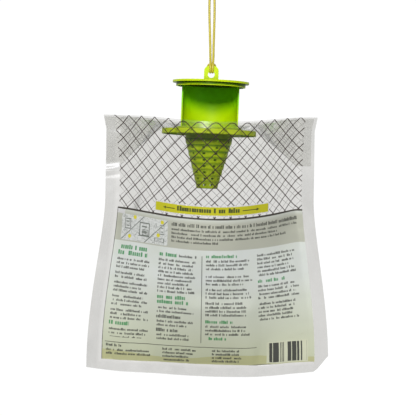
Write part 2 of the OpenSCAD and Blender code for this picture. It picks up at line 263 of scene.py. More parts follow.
class Graph:
    """Builds a node material. Every input may be a number, a colour or another node's output."""

    def __init__(self, name):
        self.material = bpy.data.materials.new(name)
        self.material.use_nodes = True
        self.tree = self.material.node_tree
        self.tree.nodes.clear()
        self.output = self.node("ShaderNodeOutputMaterial")

    def node(self, kind, **settings):
        made = self.tree.nodes.new(kind)
        for key, value in settings.items():
            setattr(made, key, value)
        return made

    def feed(self, socket, value):
        if isinstance(value, bpy.types.NodeSocket):
            self.tree.links.new(value, socket)
        else:
            socket.default_value = value

    def math(self, operation, *values, clamp=False):
        made = self.node("ShaderNodeMath", operation=operation, use_clamp=clamp)
        for socket, value in zip(made.inputs, values):
            self.feed(socket, value)
        return made.outputs[0]

    def add(self, a, b):
        return self.math("ADD", a, b)

    def sub(self, a, b):
        return self.math("SUBTRACT", a, b)

    def mul(self, first, *others):
        for other in others:
            first = self.math("MULTIPLY", first, other)
        return first

    def over(self, a, b):
        return self.math("GREATER_THAN", a, b)

    def under(self, a, b):
        return self.math("LESS_THAN", a, b)

    def most(self, first, *others):
        for other in others:
            first = self.math("MAXIMUM", first, other)
        return first

    def inside(self, v, low, high):
        return self.mul(self.over(v, low), self.under(v, high))

    def area(self, s, t, left, right, low, high):
        return self.mul(self.inside(s, left, right), self.inside(t, low, high))

    def scale(self, v, from_low, from_high, to_low=0.0, to_high=1.0, smooth=False):
        made = self.node("ShaderNodeMapRange", interpolation_type="SMOOTHSTEP" if smooth else "LINEAR")
        for socket, value in zip(made.inputs, (v, from_low, from_high, to_low, to_high)):
            self.feed(socket, value)
        return made.outputs[0]

    def blend(self, amount, a, b):
        made = self.node("ShaderNodeMix", data_type="RGBA")
        for index, value in ((0, amount), (6, a), (7, b)):
            self.feed(made.inputs[index], value)
        return made.outputs[2]

    def float_blend(self, amount, a, b):
        made = self.node("ShaderNodeMix", data_type="FLOAT")
        for index, value in ((0, amount), (2, a), (3, b)):
            self.feed(made.inputs[index], value)
        return made.outputs[0]

    def vector(self, x, y, z=0.0):
        made = self.node("ShaderNodeCombineXYZ")
        for socket, value in zip(made.inputs, (x, y, z)):
            self.feed(socket, value)
        return made.outputs[0]

    def position(self):
        return self.node("ShaderNodeNewGeometry").outputs["Position"]

    def node_z(self, place):
        parts = self.node("ShaderNodeSeparateXYZ")
        self.feed(parts.inputs[0], place)
        return parts.outputs[2]

    def object_place(self):
        return self.node("ShaderNodeTexCoord").outputs["Object"]

    def noise(self, vector, scale, detail=3.0, rough=0.5, distortion=0.0):
        made = self.node("ShaderNodeTexNoise")
        self.feed(made.inputs["Vector"], vector)
        made.inputs["Scale"].default_value = scale
        made.inputs["Detail"].default_value = detail
        made.inputs["Roughness"].default_value = rough
        made.inputs["Distortion"].default_value = distortion
        return made.outputs[0]

    def random(self, vector):
        made = self.node("ShaderNodeTexWhiteNoise", noise_dimensions="3D")
        self.feed(made.inputs["Vector"], vector)
        return made.outputs["Color"]

    def channels(self, colour):
        made = self.node("ShaderNodeSeparateColor")
        self.feed(made.inputs[0], colour)
        return made.outputs[0], made.outputs[1], made.outputs[2]

    def attribute(self, name):
        return self.node("ShaderNodeAttribute", attribute_name=name).outputs["Fac"]

    def bump(self, height, strength, distance, normal=None):
        made = self.node("ShaderNodeBump")
        made.inputs["Strength"].default_value = strength
        made.inputs["Distance"].default_value = distance
        self.feed(made.inputs["Height"], height)
        if normal is not None:
            self.feed(made.inputs["Normal"], normal)
        return made.outputs[0]

    def principled(self, **values):
        made = self.node("ShaderNodeBsdfPrincipled")
        for key, value in values.items():
            self.feed(made.inputs[key.replace("_", " ")], value)
        return made

    def mix_shaders(self, share, first, second):
        made = self.node("ShaderNodeMixShader")
        for socket, value in zip(made.inputs, (share, first, second)):
            self.feed(socket, value)
        return made.outputs[0]

    def finish(self, shader):
        self.tree.links.new(shader, self.output.inputs["Surface"])
        return self.material


# ---- green moulded plastic ----

LID_UNDER, SKIRT_LOW = -7.6, -10.5
FLANGE_LOW, COLLAR_LOW, TIER_H = -51.4, -54.90, 5.25   # as in the CAD source
CREVICE_REACH, EDGE_SOFTNESS = 9.0, 0.35


def green_plastic(name, deep, bright, crevice_shade, rough=0.42, glow=0.12, painted_shading=None):
    """Satin polypropylene: faint flow mottling, fine mould grain, soft edges, a little light inside."""
    g = Graph(name)
    place = g.object_place()
    flow = g.noise(place, 55.0, 4.0, 0.6, 0.4)
    streak = g.noise(place, 210.0, 2.0)
    tone = g.blend(g.scale(flow, 0.3, 0.7), deep, bright)
    # Painted light and shade by height, where a function for it is given.
    if painted_shading:
        tone = painted_shading(g, place, tone)
    # Painted shade: the colour darkens in recesses that ambient occlusion finds.
    crevice = g.node("ShaderNodeAmbientOcclusion", samples=6, only_local=True)
    crevice.inputs["Distance"].default_value = CREVICE_REACH * MM
    open_sky = g.scale(crevice.outputs["AO"], 0.35, 0.85, 0.0, 1.0)
    tone = g.blend(open_sky, crevice_shade, tone)
    grain = g.noise(place, 2600.0, 3.0, 0.6)
    soft = g.node("ShaderNodeBevel", samples=4)
    soft.inputs["Radius"].default_value = EDGE_SOFTNESS * MM
    normal = g.bump(grain, 0.10, 0.05 * MM, g.bump(streak, 0.12, 0.2 * MM, soft.outputs[0]))
    shader = g.principled(
        Base_Color=tone,
        Roughness=g.scale(streak, 0.3, 0.7, rough - 0.05, rough + 0.07),
        Subsurface_Weight=glow,
        Subsurface_Radius=(1.0, 1.2, 0.2),
        Subsurface_Scale=2.0 * MM,
        Specular_IOR_Level=0.1,
        Normal=normal,
    )
    return g.finish(shader.outputs[0])


def cone_painted_shading(g, place, tone):
    """Painted light and shade by height on the cone's tiers and collar, and a paler tone on the flange."""
    height = g.math("DIVIDE", g.node_z(place), MM)
    # Painted highlight and painted shade on each tier of the cone.
    tier = g.math("DIVIDE", g.sub(height, COLLAR_LOW), -TIER_H)
    within = g.math("FRACT", tier)
    upper = g.scale(tier, 2.0, 6.0, 1.0, 0.35)
    lit = g.mul(g.scale(within, 0.45, 0.85, 0.0, 1.0, smooth=True), upper)
    dark = g.mul(g.scale(within, 0.5, 0.1, 0.0, 1.0, smooth=True), upper)
    on_cone = g.under(height, COLLAR_LOW)
    tone = g.blend(g.mul(lit, on_cone, 0.75), tone, linear(204, 236, 0))
    tone = g.blend(g.mul(dark, on_cone, 0.85), tone, linear(96, 136, 0))
    # Painted shade on the collar, under the flange.
    collar = g.inside(height, COLLAR_LOW, FLANGE_LOW)
    tone = g.blend(g.mul(collar, 0.45), tone, linear(120, 160, 0))
    tone = g.blend(g.mul(g.over(height, FLANGE_LOW + 0.5), 0.75), tone, linear(206, 226, 44))
    # Painted shadow line at each tier's step.
    step = g.mul(g.under(g.math("PINGPONG", tier, 0.5), 0.07), on_cone)
    tone = g.blend(g.mul(step, 0.45), tone, linear(72, 120, 0))
    tip = g.scale(height, COLLAR_LOW - 18, COLLAR_LOW - 34)
    return g.blend(g.mul(tip, 0.5), tone, linear(160, 176, 44))


def lid_painted_shading(g, place, tone):
    """Painted shade: a darker tone in the recess between the lid's edge and the foot of its skirt."""
    height = g.math("DIVIDE", g.node_z(place), MM)
    return g.blend(g.mul(g.inside(height, SKIRT_LOW + 0.7, LID_UNDER + 0.1), 0.9), tone, linear(78, 122, 0))


def shield_painted_shading(g, place, tone):
    """Painted shade: a greener tone toward the shield's top, under the lid."""
    height = g.math("DIVIDE", g.node_z(place), MM)
    return g.blend(g.scale(height, -36, -18, 0.0, 0.8, smooth=True), tone, linear(116, 214, 0))


cap_green = green_plastic("cap_green", linear(184, 208, 8), linear(204, 226, 26), linear(60, 104, 0),
                          painted_shading=lid_painted_shading)
shield_green = green_plastic("shield_green", linear(170, 206, 0), linear(184, 214, 0), linear(88, 188, 0),
                             painted_shading=shield_painted_shading)
funnel_green = green_plastic("funnel_green", linear(172, 196, 8), linear(188, 210, 18), linear(112, 152, 0),
                             0.45, 0.2, cone_painted_shading)
for node_name, finish in (("cap", cap_green), ("entry_shield", shield_green),
                          ("funnel_flange", funnel_green), ("entry_cone", funnel_green)):
    cad_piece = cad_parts[node_name]
    cad_piece.data.materials.clear()
    cad_piece.data.materials.append(finish)


# ---- hanging string ----

STRING_D = 2.1
STRAND = [(-3.2, 0, 72), (-3.9, 0, 66), (-3.9, 0, 60), (-3.7, 0, 54), (-3.4, 0, 48), (-3, 0, 42),
          (-2.6, 0, 36), (-2.2, 0, 30), (-1.8, 0.2, 24), (-1.5, 0.6, 18), (-1.2, 1.4, 13), (-1, 2.1, 9),
          (-1, 2.4, 6), (-1, 2, 3.4), (-1, 0.9, 2.1), (-1, -0.9, 2.1), (-1, -2, 3.4), (-1, -2.4, 5.4),
          (-1, -1.9, 7.7), (-1.4, -0.4, 8.6), (-2.5, 1.2, 8.2), (-3.2, 2.8, 6.6), (-2.8, 4.2, 5.2),
          (-1.5, 4.9, 4.6), (0, 5, 4.5)]
STRING_LEAN = -0.0375
KNOT_MID = (-2.2, 0, 74)
LOOP_HALF = [(-3.6, 0, 76.2), (-4.6, 0, 80), (-6.2, 0, 84), (-7.4, 0, 88), (-7.4, 0, 92),
             (-5.8, 0, 95.4), (-2.2, 0, 97)]


def other_strand(point):
    x, y, z = point
    return (2 * STRING_LEAN * max(0, z - 14) - x, y, z)


def smooth_route(points, steps=8):
    """Points along a smooth curve through the route's own points."""
    p = np.array(points, float)
    p = np.vstack([2 * p[0] - p[1], p, 2 * p[-1] - p[-2]])
    out = []
    for a, b, c, d in zip(p, p[1:], p[2:], p[3:]):
        for t in np.arange(steps) / steps:
            out.append(0.5 * (2 * b + (c - a) * t + (2 * a - 5 * b + 4 * c - d) * t ** 2
                              + (3 * b - a - 3 * c + d) * t ** 3))
    return np.array(out + [p[-2]])


def carried_frames(route, closed=False):
    """Directions along and across a route that don't twist about it."""
    if closed:
        heading = np.roll(route, -1, 0) - np.roll(route, 1, 0)
    else:
        heading = np.gradient(route, axis=0)
    heading /= np.linalg.norm(heading, axis=1, keepdims=True)
    side = np.cross(heading[0], (0.3, 1.0, 0.2))
    sides = []
    for h in heading:
        side = side - side.dot(h) * h
        side = side / np.linalg.norm(side)
        sides.append(side)
    return heading, np.array(sides)


def twisted_cord(name, route, d, material, plies=3, pitch=5.0, around=24, closed=False):
    """A laid cord: plies that turn about the route, as a mesh tube."""
    heading, side = carried_frames(route, closed)
    up = np.cross(heading, side)
    gaps = np.linalg.norm(np.diff(route, axis=0), axis=1)
    along = np.concatenate([[0], np.cumsum(gaps)])
    turn = 2 * np.pi * np.arange(around) / around
    lobes = np.abs(np.cos(plies / 2 * (turn[None] - 2 * np.pi * along[:, None] / pitch)))
    radius = d / 2 * (0.80 + 0.22 * lobes ** 0.8)
    points = (route[:, None] + radius[..., None] * (np.cos(turn)[None, :, None] * side[:, None]
                                                    + np.sin(turn)[None, :, None] * up[:, None]))
    rows = len(route)
    faces = []
    for i in range(rows if closed else rows - 1):
        for k in range(around):
            n, m = (i + 1) % rows, (k + 1) % around
            faces.append((i * around + k, i * around + m, n * around + m, n * around + k))
    if not closed:
        faces.append(tuple(range(around))[::-1])
        faces.append(tuple((rows - 1) * around + k for k in range(around)))
    uv = np.stack(np.broadcast_arrays(turn[None] / (2 * np.pi), along[:, None]), -1).reshape(-1, 2)
    depth = lobes.reshape(-1)
    return mesh_from(name, points.reshape(-1, 3), faces, uv, {"crown": depth}, material)


def string_material():
    """Waxed polypropylene twine: painted shade between its plies, fine filaments along them."""
    g = Graph("string")
    place = g.object_place()
    crown = g.attribute("crown")
    fibre = g.noise(place, 1900.0, 3.0, 0.7, 0.6)
    # Painted shade in the grooves between the plies, lighter on their crowns.
    tone = g.blend(g.scale(crown, 0.0, 0.8), linear(132, 116, 10), linear(214, 200, 70))
    tone = g.blend(g.scale(fibre, 0.35, 0.75), tone, linear(186, 168, 52))
    shader = g.principled(Base_Color=tone, Roughness=0.42, Specular_IOR_Level=0.5,
                          Normal=g.bump(fibre, 0.3, 0.12 * MM))
    return g.finish(shader.outputs[0])


def add_string():
    twine = string_material()
    for side, points in (("left", STRAND), ("right", [other_strand(p) for p in STRAND])):
        route = smooth_route(points[::-1])
        strand = twisted_cord(f"string_{side}", route, STRING_D, twine)
        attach(strand, "cap")
        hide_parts("hanging_string")
    turn = np.linspace(0, 2 * np.pi, 96, endpoint=False)
    trefoil = np.stack([np.sin(turn) + 2 * np.sin(2 * turn), 1.25 * np.sin(3 * turn),
                        (np.cos(turn) - 2 * np.cos(2 * turn)) * 1.15], -1) * 0.72
    knot = twisted_cord("overhand_knot", trefoil + np.array(KNOT_MID), STRING_D, twine, closed=True)
    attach(knot, "cap")
    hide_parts("string_knot")
    mirrored = [(2 * KNOT_MID[0] - x, y, z) for x, y, z in LOOP_HALF[-2::-1]]
    route = smooth_route(LOOP_HALF + mirrored)
    loop = twisted_cord("top_loop", route, STRING_D, twine)
    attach(loop, "cap")
    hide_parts("string_loop")


add_string()


# ---- printed film ----

NET_WIDE, NET_TALL = 13.9, 12.87
NEAR_LINE, FAR_LINE = 0.76, 0.5
NET_MIDDLE = (-1.3, -41.7)
NET_ARCH = 4.3           # radius that rounds the net's top row, over the entry
NET_LEFT, NET_RIGHT = -87.5, 92.0
FAR_NET_SHIFT = 5.2
LABEL_LEFT, LABEL_RIGHT = -88.7, 92.2
LABEL_TOP, LABEL_LOW = -113.2, -242.6
HEADER_LOW = -141.0
BAND = (-47.5, 56.0, -110.4, -103.4)

FILM_TINT = (0.838, 0.834, 0.822, 1.0)
FOLD_TINT = (0.905, 0.905, 0.89, 1.0)
INK = linear(52, 54, 46)
INK_GREEN = linear(24, 138, 66)
INK_NET = linear(42, 22, 10)


def words(g, s, t, left, right, top, rows, pitch, letter, seed, tall=0.42, ragged=0.25):
    """Rows of small blocks in word-like groups, which stand for lines of print."""
    down = g.math("DIVIDE", g.sub(top, t), pitch)
    row = g.math("FLOOR", down)
    within = g.sub(down, row)
    along = g.math("DIVIDE", g.sub(s, left), letter)
    cell = g.math("FLOOR", along)
    part = g.sub(along, cell)
    pick, rise, cut = g.channels(g.random(g.vector(cell, row, seed)))
    row_pick = g.channels(g.random(g.vector(row, seed, 3.7)))[0]
    end = g.sub(right, g.mul(row_pick, ragged * (right - left)))
    shape = g.mul(
        g.over(pick, 0.17),
        g.under(part, g.scale(cut, 0, 1, 0.62, 0.95)),
        g.over(within, g.scale(g.over(rise, 0.68), 0, 1, 0.74 - tall, 0.66 - tall - 0.1)),
        g.under(within, 0.76),
    )
    return g.mul(shape, g.area(s, t, left, right, top - rows * pitch, top), g.under(s, end))


# left, right, top, rows, row pitch, letter width, letter height, in green
TEXT = [
    (-31, 88, -118.6, 1, 4.2, 1.25, 0.52, False),
    (-31, 87, -122.9, 1, 3.4, 1.0, 0.40, False),
    (-31, 66, -126.3, 1, 3.4, 1.0, 0.40, False),
    (-31, 76, -129.7, 1, 3.4, 1.0, 0.40, False),
    (-31, 9, -133.1, 1, 3.4, 1.0, 0.40, False),
    (-83.0, -52, -143.8, 2, 5.0, 2.1, 0.62, True),
    (-83.0, -48, -154.6, 3, 3.4, 1.05, 0.42, False),
    (-83.0, -49, -166.4, 2, 3.4, 1.05, 0.42, False),
    (-83.0, -49, -174.6, 3, 3.4, 1.05, 0.42, False),
    (-83.0, -49, -186.2, 3, 3.4, 1.05, 0.42, False),
    (-83.0, -49, -197.8, 3, 3.4, 1.05, 0.42, False),
    (-83.5, -66, -208.8, 1, 4.4, 1.9, 0.60, True),
    (-83.0, -49, -214.2, 3, 3.4, 1.05, 0.42, False),
    (-41.5, -26, -145.6, 1, 4.4, 1.9, 0.60, True),
    (-24, -9, -145.8, 1, 3.6, 1.05, 0.42, False),
    (-42, -9.5, -150.6, 9, 3.4, 1.05, 0.42, False),
    (-42, -14, -182.6, 2, 4.3, 1.9, 0.60, True),
    (-42, -9.5, -192.2, 2, 3.4, 1.05, 0.42, False),
    (-42.5, -22, -200.0, 1, 4.0, 1.3, 0.55, False),
    (-42, -9.5, -204.2, 2, 3.4, 1.05, 0.42, False),
    (-42.5, -24, -212.0, 1, 4.0, 1.3, 0.55, False),
    (-42, -9.5, -216.2, 2, 3.4, 1.05, 0.42, False),
    (-1, 26, -144.6, 1, 3.8, 1.5, 0.55, True),
    (-1, 40.5, -148.8, 3, 3.4, 1.05, 0.42, False),
    (-1, 40.5, -162.4, 3, 3.4, 1.05, 0.42, False),
    (-1, 40.5, -174.2, 3, 3.4, 1.05, 0.42, False),
    (-1, 40.5, -186.0, 4, 3.4, 1.05, 0.42, False),
    (-1, 22, -202.4, 1, 3.8, 1.5, 0.55, True),
    (-1, 40.5, -206.6, 3, 3.4, 1.05, 0.42, False),
    (-1, 18, -217.6, 1, 3.6, 1.5, 0.55, True),
    (44.7, 84, -145.4, 6, 3.4, 1.05, 0.42, False),
    (44.7, 70, -167.8, 1, 3.8, 1.5, 0.55, True),
    (44.7, 84, -172.2, 4, 3.4, 1.05, 0.42, False),
    (44.7, 84, -187.6, 5, 3.4, 1.05, 0.42, False),
    (-85, -72, -228.6, 1, 3.2, 1.2, 0.52, False),
    (-85, -47, -232.4, 2, 3.2, 1.05, 0.45, False),
    (-37, -8, -229.0, 4, 3.2, 1.05, 0.45, False),
    (5, 35, -228.6, 4, 3.2, 1.05, 0.45, False),
]
PICTURE = (-82.5, -34.5, -140.0, -118.2)
SPOTS = [(-68.7, -119.9), (-39.9, -120.4), (-73.4, -136.4), (-43.6, -132.0)]
BARS = (52.7, 85.7, -241.0, -224.4)


def net_ink(g, s, t, width):
    """Crossed lines of a printed net. Over the entry its top row ends in round arches."""
    ds = g.math("DIVIDE", g.sub(s, NET_MIDDLE[0]), NET_WIDE)
    dt = g.math("DIVIDE", g.sub(t, NET_MIDDLE[1]), NET_TALL)
    half = width / math.sqrt(2) / NET_WIDE
    lines = [g.under(g.math("PINGPONG", turned, 0.5), half) for turned in (g.add(ds, dt), g.sub(ds, dt))]
    net = g.most(*lines)
    middle = 0.5 - math.sqrt(2) * NET_ARCH / NET_WIDE
    reach = NET_ARCH / NET_WIDE
    from_apex = g.sub(0.5, g.math("PINGPONG", ds, 0.5))
    rise = g.sub(dt, middle)
    far = g.math("SQRT", g.add(g.mul(from_apex, from_apex), g.mul(rise, rise)))
    arch = g.under(g.math("ABSOLUTE", g.sub(far, reach)), width / 2 / NET_WIDE)
    tip = g.mul(g.over(rise, reach * 0.707), g.under(from_apex, reach * 0.72), g.under(dt, 0.6))
    tip = g.mul(tip, g.inside(s, -35, 35))
    return g.float_blend(tip, net, arch)


def net_reach(g, s, t):
    """Where the net is printed: a little wider toward the top corners."""
    wider = g.scale(t, -80, -42, 0.0, 4.6)
    return g.mul(g.over(g.add(s, wider), NET_LEFT), g.under(g.sub(s, g.mul(wider, 0.3)), NET_RIGHT))


ARROWS = ((-39.5, -28.5), (46.5, 30.5))     # tip and tail of the band's two arrows
ARROW_HEAD = 2.4


def band_ink(g, s, t):
    """Masks of the level band's halo, its yellow and its dark marks."""
    left, right, low, high = BAND
    middle = (low + high) / 2
    halo = g.area(s, t, left - 1.2, right + 1.2, low - 1.0, high + 1.0)
    yellow = g.area(s, t, left, right, low, high)
    marks = words(g, s, t, -26.5, 28.7, middle + 2.6, 1, 5.2, 2.1, 17.0, 0.56, 0.0)
    away = g.math("ABSOLUTE", g.sub(t, middle))
    for tip, tail in ARROWS:
        rod = g.mul(g.inside(s, min(tip, tail), max(tip, tail)), g.under(away, 0.35))
        reach = g.math("ABSOLUTE", g.sub(s, tip))
        head_end = tip + (ARROW_HEAD if tail > tip else -ARROW_HEAD)
        head = g.mul(g.under(away, g.mul(reach, 0.55)),
                     g.inside(s, min(tip, head_end), max(tip, head_end)))
        marks = g.most(marks, rod, head)
    return halo, yellow, marks


# Middle and half size of each plain outline in the picture block.
OUTLINES = [(-76, -126, 3.2, 4.4), (-58, -129, 5.4, 6.0), (-57, -131.5, 3.0, 2.4),
            (-40, -127, 2.2, 4.2), (-42.5, -136, 4.8, 1.8)]


def picture_ink(g, s, t):
    """Masks of the picture block: its panel, its plain outlines and strokes, and its four spots."""
    left, right, low, high = PICTURE
    panel = g.area(s, t, left, right, low, high)
    slope = (right - left) * 0.49 / (high - low)
    slant = g.sub(s, g.mul(g.sub(t, low), slope))
    line = g.most(g.under(g.math("ABSOLUTE", g.sub(slant, left)), 0.5),
                  g.under(g.math("ABSOLUTE", g.sub(slant, left + (right - left) * 0.52)), 0.5))
    drawn = line
    for x, y, wide, tall in OUTLINES:
        dx = g.math("ABSOLUTE", g.sub(s, x))
        dy = g.math("ABSOLUTE", g.sub(t, y))
        reach = g.most(g.math("DIVIDE", dx, wide), g.math("DIVIDE", dy, tall))
        drawn = g.most(drawn, g.inside(reach, 0.82, 1.0), g.mul(g.under(reach, 0.5), g.over(dy, tall * 0.3)))
    sketch = g.noise(g.vector(g.mul(s, 0.21), g.mul(t, 0.21)), 1.0, 3.0, 0.6, 1.2)
    strokes = g.under(g.math("ABSOLUTE", g.sub(g.math("FRACT", g.mul(sketch, 7.0)), 0.5)), 0.10)
    drawn = g.most(drawn, g.mul(strokes, g.inside(sketch, 0.40, 0.66), 0.75))
    spots = None
    for x, y in SPOTS:
        dx, dy = g.sub(s, x), g.sub(t, y)
        near = g.under(g.add(g.mul(dx, dx), g.mul(dy, dy)), 2.9)
        spots = near if spots is None else g.most(spots, near)
    return panel, g.mul(panel, drawn), g.mul(panel, spots)


BAR_PITCH = 0.62


def bar_ink(g, s, t):
    """A block of plain bars of uneven width."""
    left, right, low, high = BARS
    panel = g.area(s, t, left - 1, right + 1, low - 1, high + 1)
    along = g.math("DIVIDE", g.sub(s, left), BAR_PITCH)
    pick = g.channels(g.random(g.vector(g.math("FLOOR", along), 5.0, 9.0)))[0]
    return panel, g.mul(g.over(pick, 0.48), g.area(s, t, left, right, low, high))


def film_shader(g, colour, cover, tint=FILM_TINT):
    """Thin clear film with ink on it: cover is how solid the ink is."""
    milk, shade = g.attribute("milk"), g.attribute("shade")
    place = g.object_place()
    crinkle = g.noise(place, 90.0, 2.0, 0.5, 0.3)
    facing = g.node("ShaderNodeLayerWeight")
    facing.inputs["Blend"].default_value = 0.35
    edge_on = g.math("POWER", facing.outputs["Facing"], 2.2)
    haze = g.add(g.add(0.008, g.mul(edge_on, 0.3)), milk)
    # Painted shade and reflection: darker with the shade attribute and where the film is seen edge-on.
    clear_tone = g.blend(g.most(shade, g.mul(edge_on, 0.8)), linear(192, 192, 190), linear(118, 114, 100))
    tone = g.blend(cover, clear_tone, colour)
    # Painted highlight: very milky film turns near white.
    tone = g.blend(g.scale(milk, 0.35, 0.6, 0.0, 0.9), tone, linear(240, 244, 236))
    alpha = g.math("MAXIMUM", haze, cover, clamp=True)
    bump = g.bump(crinkle, 0.08, 0.6 * MM)
    body = g.principled(Base_Color=tone, Roughness=0.42, Specular_IOR_Level=0.12, Normal=bump)
    clear = g.node("ShaderNodeBsdfTransparent")
    clear.inputs["Color"].default_value = tint
    inked = g.mix_shaders(alpha, clear.outputs[0], body.outputs[0])
    shine = g.node("ShaderNodeBsdfGlossy")
    shine.inputs["Color"].default_value = (0.95, 0.96, 1.0, 1.0)
    shine.inputs["Roughness"].default_value = 0.24
    g.feed(shine.inputs["Normal"], bump)
    fresnel = g.node("ShaderNodeFresnel")
    fresnel.inputs["IOR"].default_value = 1.45
    g.feed(fresnel.inputs["Normal"], bump)
    glossy_share = g.mul(fresnel.outputs[0], g.scale(cover, 0, 1, 0.38, 0.15))
    return g.finish(g.mix_shaders(glossy_share, inked, shine.outputs[0]))


def film_coordinates(g):
    made = g.node("ShaderNodeUVMap", uv_map="film")
    parts = g.node("ShaderNodeSeparateXYZ")
    g.feed(parts.inputs[0], made.outputs[0])
    return parts.outputs[0], parts.outputs[1]


def plain_film():
    g = Graph("gusset_film")
    s, t = film_coordinates(g)
    net = g.mul(net_ink(g, s, t, FAR_LINE), g.inside(s, -74, 74))
    return film_shader(g, linear(104, 98, 90), g.mul(net, 0.4), FOLD_TINT)


def label_ground(g, s, t):
    """The label's pale ground, yellower toward its foot, and how far it covers the film."""
    ground = g.blend(g.scale(t, -165, -238), linear(216, 220, 215), linear(196, 200, 166))
    cloud = g.noise(g.vector(g.mul(s, 0.02), g.mul(t, 0.02)), 2.2, 3.0)
    ground = g.blend(g.scale(cloud, 0.35, 0.7, 0.0, 0.3), ground, linear(198, 204, 182))
    header = g.inside(t, HEADER_LOW, LABEL_TOP)
    ground = g.blend(g.mul(header, g.scale(t, LABEL_TOP - 1.6, LABEL_TOP - 5.2, 0.4, 1.0)), ground,
                     linear(180, 181, 165))
    pale_corner = g.area(s, t, LABEL_LEFT, -80.0, -118.2, -114.9)
    ground = g.blend(g.mul(pale_corner, 0.7), ground, linear(214, 212, 216))
    wave = g.mul(g.math("SINE", g.mul(s, 0.055)), 2.2)
    foot = g.under(t, g.add(wave, -236.0))
    ground = g.blend(g.mul(foot, 0.7), ground, linear(180, 178, 118))
    cover = g.area(s, t, LABEL_LEFT, LABEL_RIGHT, LABEL_LOW, LABEL_TOP)
    return ground, cover


def upper_print(name, with_band, ink=INK_NET, strength=0.97):
    """The net, the level band where there is one, and the label's top line."""
    g = Graph(name)
    s, t = film_coordinates(g)
    if not with_band:
        s = g.mul(s, -1.0)
    ground, cover = label_ground(g, s, t)
    net_s = s if with_band else g.add(s, FAR_NET_SHIFT)
    width = NEAR_LINE if with_band else FAR_LINE
    net = g.mul(net_ink(g, net_s, t, width), net_reach(g, s, t), g.over(t, LABEL_TOP))
    colour = g.blend(net, ground, ink)
    solid = g.most(g.mul(cover, 0.93), g.mul(net, strength))
    if with_band:
        halo, yellow, marks = band_ink(g, s, t)
        colour = g.blend(halo, colour, linear(206, 202, 204))
        colour = g.blend(yellow, colour, linear(186, 182, 0))
        colour = g.blend(marks, colour, linear(62, 70, 12))
        solid = g.most(solid, g.mul(halo, 0.35), g.mul(yellow, 0.98))
    line = label_lines(g, s, t, with_band)
    colour = g.blend(g.mul(line, 0.95), colour, linear(44, 34, 26))
    return film_shader(g, colour, g.most(solid, g.mul(line, 0.97)))


TOP_LINE, THIN_LINE = 1.35, 0.6


def label_lines(g, s, t, with_columns=True):
    """Thin lines round the label and between its columns."""
    edges = g.most(
        g.mul(g.inside(t, LABEL_TOP - TOP_LINE, LABEL_TOP), g.inside(s, LABEL_LEFT, LABEL_RIGHT)),
        g.mul(g.inside(s, LABEL_LEFT, LABEL_LEFT + THIN_LINE), g.inside(t, LABEL_LOW, LABEL_TOP)),
    )
    if not with_columns:
        return edges
    return g.most(
        edges,
        g.mul(g.inside(t, -227.5, -226.9), g.inside(s, -86, 43)),
        g.mul(g.inside(s, -4.7, -4.1), g.inside(t, -223.5, -146)),
    )


# Parts of the label, each with a material of its own: left, right, low, high.
PLACES = {
    "header": (-200, 200, -142.3, -116),
    "column_1": (-200, -45.5, -226.2, -142.3),
    "column_2": (-45.5, -4.4, -226.2, -142.3),
    "column_3": (-4.4, 42.7, -226.2, -142.3),
    "column_4": (42.7, 200, -223.0, -142.3),
    "foot": (-200, 200, -300, -223.0),
}


def label_print(place):
    """The label's ground with the print that lies in one place of it."""
    left_end, right_end, low_end, high_end = PLACES[place]
    g = Graph("label_" + place)
    s, t = film_coordinates(g)
    ground, cover = label_ground(g, s, t)
    line = label_lines(g, s, t)
    colour = g.blend(g.mul(line, 0.85), ground, INK)
    if place == "header":
        panel, drawn, spots = picture_ink(g, s, t)
        colour = g.blend(panel, colour, linear(214, 216, 212))
        colour = g.blend(drawn, colour, linear(112, 118, 110))
        colour = g.blend(spots, colour, linear(214, 204, 20))
    if place == "foot":
        plate, bars = bar_ink(g, s, t)
        colour = g.blend(plate, colour, linear(206, 208, 180))
        colour = g.blend(bars, colour, INK)
    for seed, (left, right, top, rows, pitch, letter, tall, is_green) in enumerate(TEXT):
        if left_end <= left < right_end and low_end < top <= high_end:
            ink = words(g, s, t, left, right, top, rows, pitch, letter, seed + 0.5, tall,
                        0.0 if rows == 1 else 0.25)
            colour = g.blend(g.mul(ink, 0.9), colour, INK_GREEN if is_green else INK)
    solid = g.most(g.mul(cover, 0.93), g.mul(line, 0.95))
    return film_shader(g, colour, solid)


# ---- bag panels ----

PANEL_COLS, PANEL_ROWS = 220, 240
WIDE_SEAL = 2.4          # how much wider the seal on one side looks
CUT_CORNER = 13.0        # how much of the lower corner on that side is trimmed
BACK_SEED, FRONT_SEED = 21, 37


def panel_shape(seed):
    """Grid of a panel on the +Y side with its film coordinates, milkiness and shade."""
    u = np.linspace(-1, 1, PANEL_COLS + 1)[:, None]
    v = np.linspace(0, 1, PANEL_ROWS + 1)[None, :]
    z = mix(edge_z(u), low_z(u) + CUT_CORNER * ramp(0.89, 1.02, u), v ** 0.95)
    x = u * half_width(z) + WIDE_SEAL * ramp(0.88, 1.0, u)
    y = panel_y(x, z)
    steps = np.hypot(np.diff(x, axis=0), np.diff(y, axis=0))
    s = np.vstack([np.zeros((1, PANEL_ROWS + 1)), np.cumsum(steps, axis=0)])
    s -= s[PANEL_COLS // 2]
    t = z + print_sag(z) * bow(x, half_depth(z))
    out = panel_folds(s, t, x, z, seed)
    base = np.stack([x, y, z], -1)
    normal = grid_normals(base)
    normal *= np.sign(normal[..., 1:2] + 1e-9)
    milk, shade = panel_haze(s, t, u, v, seed)
    points = base + normal * out[..., None]
    return leaned(points[..., 0], points[..., 1], points[..., 2]), s, t, milk, shade


